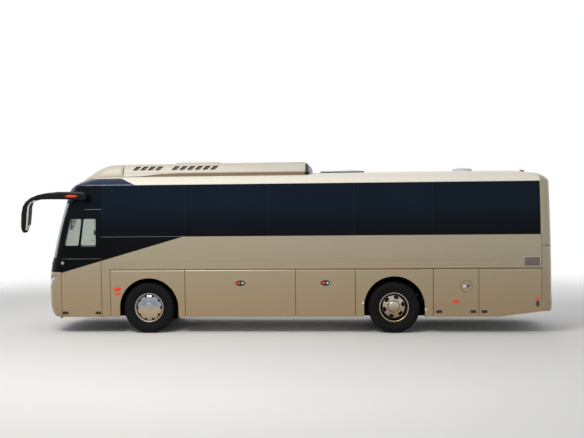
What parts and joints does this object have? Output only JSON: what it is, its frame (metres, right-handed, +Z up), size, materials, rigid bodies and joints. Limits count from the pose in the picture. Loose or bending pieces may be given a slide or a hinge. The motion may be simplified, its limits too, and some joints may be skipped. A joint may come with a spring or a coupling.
{
  "type": "coach bus",
  "caption": "High floor coach with underfloor luggage hold, roof air conditioner, steered front axle, twin rear wheels, and hinged flaps and door.",
  "frame": {"origin": "on the ground under the middle of the overall length and width", "axes": "+X to the rear, +Y to the right-hand side of the coach, +Z up"},
  "size_m": [10.435, 2.976, 3.412],
  "materials": {
    "gold_paint": "metallic gloss",
    "cream_paint": "gloss",
    "gloss_black": "gloss",
    "side_glass": "tinted",
    "clear_glass": "clear",
    "tyre": "matte",
    "rim_steel": "satin",
    "black_plastic": "matte",
    "white_plastic": "gloss",
    "red_lamp": "gloss",
    "headlamp": "clear",
    "seat_fabric": "woven",
    "floor_vinyl": "matte",
    "frame_steel": "satin",
    "engine_iron": "rough",
    "inner_trim": "matte"
  },
  "bodies": {
    "coach": {"ac_covers": "cream_paint", "ac_unit": "cream_paint", "cab_sides": "gloss_black", "chassis": "frame_steel", "dashboard": "black_plastic", "driver_seat": "seat_fabric", "driver_window": "clear_glass", "engine": "engine_iron", "entry_steps": "floor_vinyl", "floor_deck": "floor_vinyl", "front_axle": "frame_steel", "front_mask": "gold_paint", "hatch_curb": "black_plastic", "headlamps": "headlamp", "lamps": "red_lamp", "luggage_hold": "frame_steel", "luggage_racks": "inner_trim", "mirrors": "gold_paint", "passenger_seats": "seat_fabric", "rear_axle": "frame_steel", "rear_frame": "gold_paint", "rear_window": "side_glass", "roof": "cream_paint", "roof_fairing": "cream_paint", "roof_vent": "white_plastic", "side_glass": "side_glass", "skirts": "gold_paint", "steering_wheel": "black_plastic", "waist_panels": "gold_paint", "wheel_arches": "black_plastic", "window_pillars": "gloss_black", "windscreen": "clear_glass"},
    "knuckle_left": {"knuckle_left": "frame_steel"},
    "knuckle_right": {"knuckle_right": "frame_steel"},
    "wheel_front_left": {"rim_front_left": "rim_steel", "tyre_front_left": "tyre"},
    "wheel_front_right": {"rim_front_right": "rim_steel", "tyre_front_right": "tyre"},
    "wheel_rear_left": {"rims_rear_left": "rim_steel", "tyres_rear_left": "tyre"},
    "wheel_rear_right": {"rims_rear_right": "rim_steel", "tyres_rear_right": "tyre"},
    "driver_flap": {"driver_flap": "gold_paint"},
    "side_flap_left": {"side_flap_left": "gold_paint"},
    "side_flap_right": {"side_flap_right": "gold_paint"},
    "fuel_flap": {"fuel_flap": "gold_paint"},
    "corner_flap_left": {"corner_flap_left": "gold_paint"},
    "corner_flap_right": {"corner_flap_right": "gold_paint"},
    "luggage_flap_front_left": {"luggage_flap_front_left": "gold_paint"},
    "luggage_flap_front_right": {"luggage_flap_front_right": "gold_paint"},
    "luggage_flap_rear_left": {"luggage_flap_rear_left": "gold_paint"},
    "luggage_flap_rear_right": {"luggage_flap_rear_right": "gold_paint"},
    "engine_lid": {"engine_lid": "gold_paint"},
    "roof_hatch": {"roof_hatch": "white_plastic"},
    "door_arm": {"door_arm": "frame_steel"},
    "entry_door": {"entry_door": "gold_paint", "entry_door_glass": "side_glass"}
  },
  "joints": [
    {"name": "steer_left", "type": "hinge", "parent": "coach", "child": "knuckle_left", "pos_m": [-2.7275, -0.94, 0.505], "axis": [0, 0, 1], "range_deg": [-35, 35]},
    {"name": "roll_front_left", "type": "hinge", "parent": "knuckle_left", "child": "wheel_front_left", "pos_m": [-2.7275, -1.048, 0.505], "axis": [0, 1, 0], "continuous": true},
    {"name": "roll_rear_left", "type": "hinge", "parent": "coach", "child": "wheel_rear_left", "pos_m": [2.1225, -1.036, 0.505], "axis": [0, 1, 0], "continuous": true},
    {"name": "luggage_flap_front_left_hinge", "type": "hinge", "parent": "coach", "child": "luggage_flap_front_left", "pos_m": [-0.893, -1.24292, 1.26], "axis": [-1, 0, 0], "range_deg": [0, 95]},
    {"name": "luggage_flap_rear_left_hinge", "type": "hinge", "parent": "coach", "child": "luggage_flap_rear_left", "pos_m": [0.7875, -1.24292, 1.26], "axis": [-1, 0, 0], "range_deg": [0, 95]},
    {"name": "side_flap_left_hinge", "type": "hinge", "parent": "coach", "child": "side_flap_left", "pos_m": [3.316, -1.24292, 1.26], "axis": [-1, 0, 0], "range_deg": [0, 95]},
    {"name": "corner_flap_left_hinge", "type": "hinge", "parent": "coach", "child": "corner_flap_left", "pos_m": [4.35, -1.24292, 1.26], "axis": [-1, 0, 0], "range_deg": [0, 95]},
    {"name": "steer_right", "type": "hinge", "parent": "coach", "child": "knuckle_right", "pos_m": [-2.7275, 0.94, 0.505], "axis": [0, 0, 1], "range_deg": [-35, 35]},
    {"name": "roll_front_right", "type": "hinge", "parent": "knuckle_right", "child": "wheel_front_right", "pos_m": [-2.7275, 1.048, 0.505], "axis": [0, 1, 0], "continuous": true},
    {"name": "roll_rear_right", "type": "hinge", "parent": "coach", "child": "wheel_rear_right", "pos_m": [2.1225, 1.036, 0.505], "axis": [0, 1, 0], "continuous": true},
    {"name": "luggage_flap_front_right_hinge", "type": "hinge", "parent": "coach", "child": "luggage_flap_front_right", "pos_m": [-0.893, 1.24292, 1.26], "axis": [1, 0, 0], "range_deg": [0, 95]},
    {"name": "luggage_flap_rear_right_hinge", "type": "hinge", "parent": "coach", "child": "luggage_flap_rear_right", "pos_m": [0.7875, 1.24292, 1.26], "axis": [1, 0, 0], "range_deg": [0, 95]},
    {"name": "side_flap_right_hinge", "type": "hinge", "parent": "coach", "child": "side_flap_right", "pos_m": [3.316, 1.24292, 1.26], "axis": [1, 0, 0], "range_deg": [0, 95]},
    {"name": "corner_flap_right_hinge", "type": "hinge", "parent": "coach", "child": "corner_flap_right", "pos_m": [4.35, 1.24292, 1.26], "axis": [1, 0, 0], "range_deg": [0, 95]},
    {"name": "driver_flap_hinge", "type": "hinge", "parent": "coach", "child": "driver_flap", "pos_m": [-4.0175, -1.24902, 1.49], "axis": [-1, 0, 0], "range_deg": [0, 95]},
    {"name": "fuel_flap_hinge", "type": "hinge", "parent": "side_flap_left", "child": "fuel_flap", "pos_m": [3.4045, -1.2289, 0.914], "axis": [0, 0.0405, -0.9992], "range_deg": [0, 110]},
    {"name": "engine_lid_hinge", "type": "hinge", "parent": "coach", "child": "engine_lid", "pos_m": [5.1995, 0, 1.644], "axis": [0, -1, 0], "range_deg": [0, 80]},
    {"name": "roof_hatch_hinge", "type": "hinge", "parent": "coach", "child": "roof_hatch", "pos_m": [0.6765, 0, 3.2015], "axis": [0, -1, 0], "range_deg": [0, 60]},
    {"name": "door_arm_swing", "type": "hinge", "parent": "coach", "child": "door_arm", "pos_m": [-4.4075, 1.045, 0.578], "axis": [0, 0, 1], "range_deg": [0, 85]},
    {"name": "entry_door_swing", "type": "hinge", "parent": "door_arm", "child": "entry_door", "pos_m": [-3.8875, 1.045, 0.578], "axis": [0, 0, 1], "range_deg": [-85, 0]}
  ],
  "couplings": [
    {"joint": "steer_right", "follows": "steer_left", "ratio": 1},
    {"joint": "entry_door_swing", "follows": "door_arm_swing", "ratio": -1}
  ]
}
